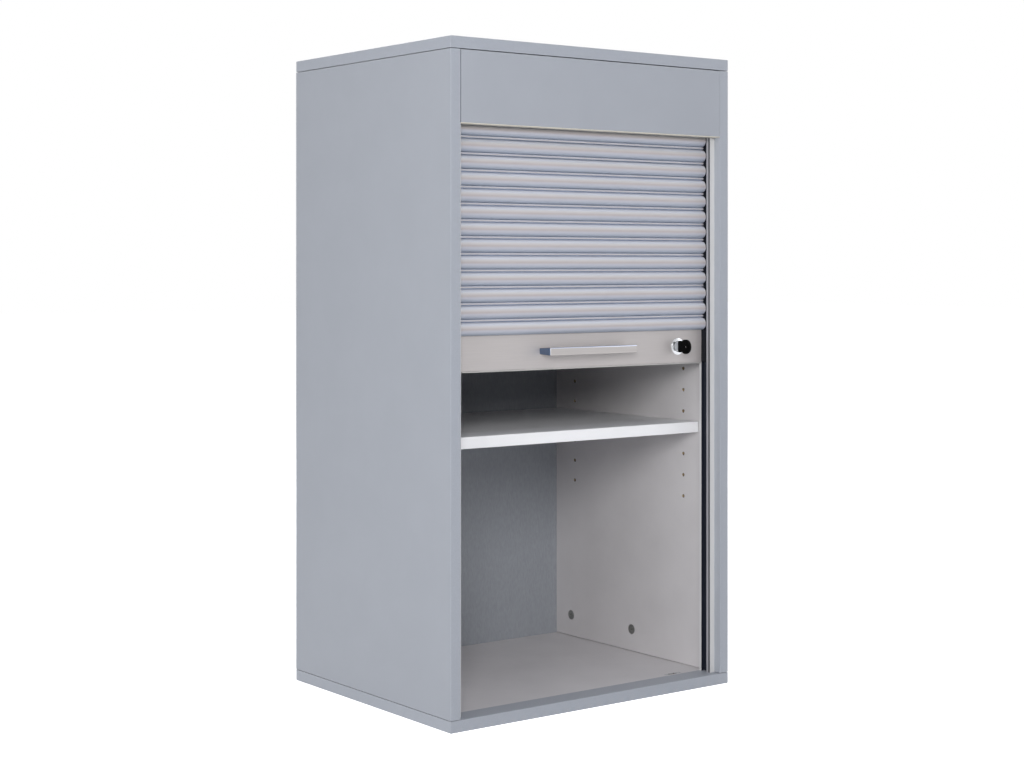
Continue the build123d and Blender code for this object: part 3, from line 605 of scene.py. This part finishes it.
def capShape(low, level):  # a D-shaped plate that closes the slat, with a round glide for the track
    shape = bmesh.new()
    inset = level * slat["nestStep"] + slat["wall"] + cap["clearance"]
    alongX = Matrix.Rotation(pi / 2, 4, "Y")
    bulge = Vector((0, curtainBack - slat["straight"] * mm, low + slat["radius"] * mm))
    pin = Vector((0, curtainBack - cap["pinBack"] * mm, bulge.z))
    for side, end in ((-1, curtainLow.x), (1, curtainHigh.x)):
        plateAt = Matrix.Translation(bulge + Vector((end - side * cap["plate"] / 2 * mm, 0, 0)))
        radius = (slat["radius"] - inset) * mm
        plate = bmesh.ops.create_cone(shape, cap_ends=True, segments=cap["sides"], radius1=radius,
                                      radius2=radius, depth=cap["plate"] * mm,
                                      matrix=plateAt @ alongX)["verts"]
        edges = list({e for v in plate for e in v.link_edges})
        faces = list({f for v in plate for f in v.link_faces})
        cut = bmesh.ops.bisect_plane(shape, geom=plate + edges + faces, plane_co=bulge,
                                     plane_no=(0, 1, 0), clear_outer=True)["geom_cut"]
        rim = [item for item in cut if isinstance(item, bmesh.types.BMEdge)]
        bmesh.ops.holes_fill(shape, edges=rim, sides=0)
        pinAt = Matrix.Translation(pin + Vector((end + side * cap["pinLength"] / 2 * mm, 0, 0)))
        pinRadius = (cap["pinRadius"] - level * slat["nestStep"]) * mm
        bmesh.ops.create_cone(shape, cap_ends=True, segments=cap["sides"], radius1=pinRadius,
                              radius2=pinRadius, depth=cap["pinLength"] * mm, matrix=pinAt @ alongX)
    bmesh.ops.recalc_face_normals(shape, faces=shape.faces)
    return shape


def followShutter(piece):  # bakes the piece's place into its mesh
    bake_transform(piece)


waiting = {}  # how many slats wait one inside another in each place of the curtain at rest
for number in range(slatCount):
    place = ceil(number * upTravel / (upTravel + downTravel))
    level = waiting.get(place, 0)
    waiting[place] = level + 1
    restLow = curtainLow.z + place * slat["pitch"] * mm
    label = f"{number + 1:02d}"
    shell = finishPiece("slat_" + label, slatShape(restLow, level), None,
                        (slatPvc, paintedLightWebPvc), "shutter_slats")
    ends = finishPiece("slat_caps_" + label, capShape(restLow, level), None,
                       (blackPolyamide,), "slat_end_caps")
    followShutter(shell)
    followShutter(ends)
print("curtain made of", slatCount, "slats")


# Bar handle: a milled bar with two legs, its corners broken and the legs' roots rounded

handle = {"bar": 8.0, "leg": 13.0, "edge": 1.6, "edgeSteps": 4, "taper": 0.78}


def makeHandle():
    low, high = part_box("pull_handle")
    middle = (low + high) / 2
    barBack = low.y + handle["bar"] * mm
    legStarts = (low.x + handle["leg"] * mm, high.x - handle["leg"] * mm)
    shape = bmesh.new()
    addBlock(shape, low, Vector((high.x, barBack, high.z)))
    for legStart in legStarts:
        cutFaces(shape, (legStart, 0, 0), (1, 0, 0))
    backs = [f for f in shape.faces if f.normal.y > square
             and not legStarts[0] < f.calc_center_median().x < legStarts[1]]
    legs = bmesh.ops.extrude_discrete_faces(shape, faces=backs)["faces"]
    bmesh.ops.translate(shape, verts=list({v for f in legs for v in f.verts}),
                        vec=(0, high.y - barBack, 0))
    cleanFaces(shape)
    for vert in shape.verts:  # the legs taper towards the rail
        if vert.co.y > high.y - flush:
            vert.co.z = middle.z + (vert.co.z - middle.z) * handle["taper"]
    for face in shape.faces:  # the ends get a painted dark reflection, a steel blue tone
        face.material_index = 1 if abs(face.normal.x) > square else 0
    corners = [e for e in sharpEdges(shape) if min(v.co.y for v in e.verts) < high.y - flush]
    for face in softenEdges(shape, corners, handle["edge"], handle["edgeSteps"]):
        if abs(face.normal.x) < 0.1 and face.normal.z > 0:  # the upper edges get a painted highlight
            face.material_index = 2
    finishPiece("pull_handle_bar", shape, "shutter",
                (handleAluminium, paintedReflectionEnds, paintedHighlightEdges), "pull_handle")


makeHandle()
print("handle made")


# Lock: a chromed housing with a coned flange, turned in one piece

lock = {"bore": 7.55, "sink": 0.3, "crest": 8.1, "crestWidth": 0.3, "crestDrop": 0.05, "slope": 1.1,
        "edge": 0.5, "edgeSteps": 6, "flange": 2.0, "barrel": 9.5, "chamfer": 0.4, "turns": 96}


def makeLockHousing():
    low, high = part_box("lock_housing")
    axis = Vector(((low.x + high.x) / 2, 0, (low.z + high.z) / 2))
    outer = (high.x - low.x) / 2 / mm
    front, back = low.y / mm, high.y / mm
    shape = bmesh.new()
    profile = [(lock["bore"], back), (lock["barrel"] - lock["chamfer"], back),
               (lock["barrel"], back - lock["chamfer"]), (lock["barrel"], front + lock["flange"]),
               (outer, front + lock["flange"])]  # radius and depth in mm
    for step in range(lock["edgeSteps"] + 1):  # the rounded outer corner
        angle = step / lock["edgeSteps"] * pi / 2
        profile.append((outer - lock["edge"] * (1 - cos(angle)),
                        front + lock["slope"] + lock["edge"] * (1 - sin(angle))))
    profile += [(lock["crest"] + lock["crestWidth"], front + lock["crestDrop"]), (lock["crest"], front),
                (lock["bore"], front + lock["sink"])]
    verts = [bmesh.ops.create_vert(shape, co=(axis.x + r * mm, y * mm, axis.z))["vert"][0]
             for r, y in profile]
    for first, second in zip(verts, verts[1:] + verts[:1]):
        shape.edges.new((first, second))
    bmesh.ops.spin(shape, geom=shape.verts[:] + shape.edges[:], cent=axis, axis=(0, 1, 0), angle=2 * pi,
                   steps=lock["turns"], use_merge=True, use_duplicate=False)
    bmesh.ops.remove_doubles(shape, verts=shape.verts, dist=mergeDistance)
    bmesh.ops.recalc_face_normals(shape, faces=shape.faces)
    finishPiece("lock_flange", shape, "shutter", (chrome,), "lock_housing")


makeLockHousing()
print("lock made")


# Key bow: moulded, with a raised rim round a sunk field on both sides

bow = {"rim": 1.3, "sunk": 0.35, "edge": 0.35, "neck": 15.8, "waist": 13.0, "shoulder": 7.6,
       "shorter": 0.82, "slimmer": 0.92}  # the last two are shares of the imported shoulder's size


def makeKeyBow():
    shape = nodeCopy("key_bow")
    low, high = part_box("key_bow")
    middle = (low.z + high.z) / 2
    halfNeck, halfWaist = bow["neck"] / 2 * mm, bow["waist"] / 2 * mm
    for vert in shape.verts:
        offset = vert.co.z - middle
        onShoulder = vert.co.y > high.y - bow["shoulder"] * mm - flush
        if abs(abs(offset) - halfNeck) < flush:  # the waist is drawn in
            vert.co.z = middle + offset * bow["waist"] / bow["neck"]
        elif onShoulder and abs(offset) > halfNeck:
            vert.co.z = middle + offset * bow["slimmer"]
        if onShoulder and abs(offset) > halfWaist:
            vert.co.y = high.y + (vert.co.y - high.y) * bow["shorter"]
    sides = [f for f in shape.faces if abs(f.normal.x) > square
             and min(f.calc_center_median().x - low.x, high.x - f.calc_center_median().x) < flush]
    bmesh.ops.inset_region(shape, faces=sides, thickness=bow["rim"] * mm, depth=-bow["sunk"] * mm,
                           use_even_offset=True)
    softenEdges(shape, sharpEdges(shape, 35), bow["edge"])
    finishPiece("key_bow_moulding", shape, "key", (keyPolyamide,), "key_bow")


makeKeyBow()
print("key made")


# Studio: a pale floor, a white backdrop, soft lamps and the photograph's camera

studio = {"floorSize": 40.0, "floorColour": "#e9e9e8", "floorGlow": 0.92, "skyStrength": 0.16,
          "skyColour": "#e8ecf8", "aim": (0, 0, 0.5)}  # the lamps point at aim


def whiteToEye(tree):  # 1 for rays from the camera, from glossy surfaces and through glass
    path = addNode(tree, "ShaderNodeLightPath")
    seen = addNode(tree, "ShaderNodeMath", {"operation": "MAXIMUM"},
                   {0: path.outputs["Is Camera Ray"], 1: path.outputs["Is Glossy Ray"]})
    return addNode(tree, "ShaderNodeMath", {"operation": "MAXIMUM"},
                   {0: seen.outputs[0], 1: path.outputs["Is Transmission Ray"]}).outputs[0]


def makeFloor():
    shape = bmesh.new()
    bmesh.ops.create_grid(shape, x_segments=1, y_segments=1, size=studio["floorSize"] / 2)
    finish, tree, shader = newFinish("pale floor", {"Base Color": linearColour(studio["floorColour"]),
                                                    "Roughness": 0.9, "Specular IOR Level": 0.0})
    glow = addNode(tree, "ShaderNodeEmission", {"Strength": studio["floorGlow"]})
    none = addNode(tree, "ShaderNodeEmission", {"Strength": 0.0})
    chosen = addNode(tree, "ShaderNodeMixShader", {}, {0: whiteToEye(tree), 1: none.outputs[0],
                                                       2: glow.outputs[0]})
    both = addNode(tree, "ShaderNodeAddShader", {}, {0: shader.outputs[0], 1: chosen.outputs[0]})
    tree.links.new(both.outputs[0], tree.nodes["Material Output"].inputs["Surface"])
    floor = addObject("studio_floor", newMesh("studio_floor", shape, (finish,)))


def makeWorld():
    world = bpy.data.worlds.new("studio")
    bpy.context.scene.world = world
    world.use_nodes = True
    tree = world.node_tree
    sky = tree.nodes["Background"]
    sky.inputs["Color"].default_value = linearColour(studio["skyColour"])
    sky.inputs["Strength"].default_value = studio["skyStrength"]
    white = addNode(tree, "ShaderNodeBackground", {"Strength": 1.0, "Color": (1, 1, 1, 1)})
    chosen = addNode(tree, "ShaderNodeMixShader", {}, {0: whiteToEye(tree), 1: sky.outputs[0],
                                                       2: white.outputs[0]})
    tree.links.new(chosen.outputs[0], tree.nodes["World Output"].inputs["Surface"])


lamps = {  # side is the angle round from the cupboard's front, to its left, in degrees
    "key softbox": {"side": 35, "far": 3.4, "up": 1.45, "size": 1.0, "power": 54, "colour": "#ffffff"},
    "left softbox": {"side": 74, "far": 3.2, "up": 0.9, "size": 2.0, "power": 38, "colour": "#fdfeff"},
    "right softbox": {"side": -60, "far": 3.2, "up": 1.4, "size": 2.0, "power": 15, "colour": "#fbfcff"},
    "top softbox": {"side": 7, "far": 1.6, "up": 3.2, "size": 2.0, "power": 14, "colour": "#f4f7ff"},
    "back softbox": {"side": -158, "far": 3.0, "up": 2.7, "size": 1.6, "power": 40, "colour": "#fbfcff"},
    "far right softbox": {"side": -115, "far": 3.2, "up": 1.6, "size": 2.0, "power": 24, "colour": "#fbfcff"},
}


def makeLamp(name, lamp):
    light = bpy.data.lights.new(name, "AREA")
    light.size = lamp["size"]
    light.energy = lamp["power"]
    light.color = linearColour(lamp["colour"])[:3]
    holder = addObject(name, light)
    side = radians(lamp["side"])
    holder.location = (-lamp["far"] * sin(side), -lamp["far"] * cos(side), lamp["up"])
    holder.rotation_euler = (Vector(studio["aim"]) - holder.location).to_track_quat("-Z", "Y").to_euler()


# Found from the cupboard's eight outer corners in the photo
photoView = {"place": (-1.660377, -2.208660, 0.617758), "turn": -36.955, "lens": 65.53, "shiftY": -0.1165,
             "sensor": 36}


def makeCamera():
    view = bpy.data.cameras.new("photo view")
    view.lens = photoView["lens"]
    view.sensor_width = photoView["sensor"]
    view.shift_y = photoView["shiftY"]
    camera = addObject("photo view", view)
    camera.location = photoView["place"]
    camera.rotation_euler = (pi / 2, 0, radians(photoView["turn"]))
    bpy.context.scene.camera = camera


makeFloor()
makeWorld()
for name, lamp in lamps.items():
    makeLamp(name, lamp)
makeCamera()
bpy.context.scene.view_settings.view_transform = "Standard"
print("studio made")
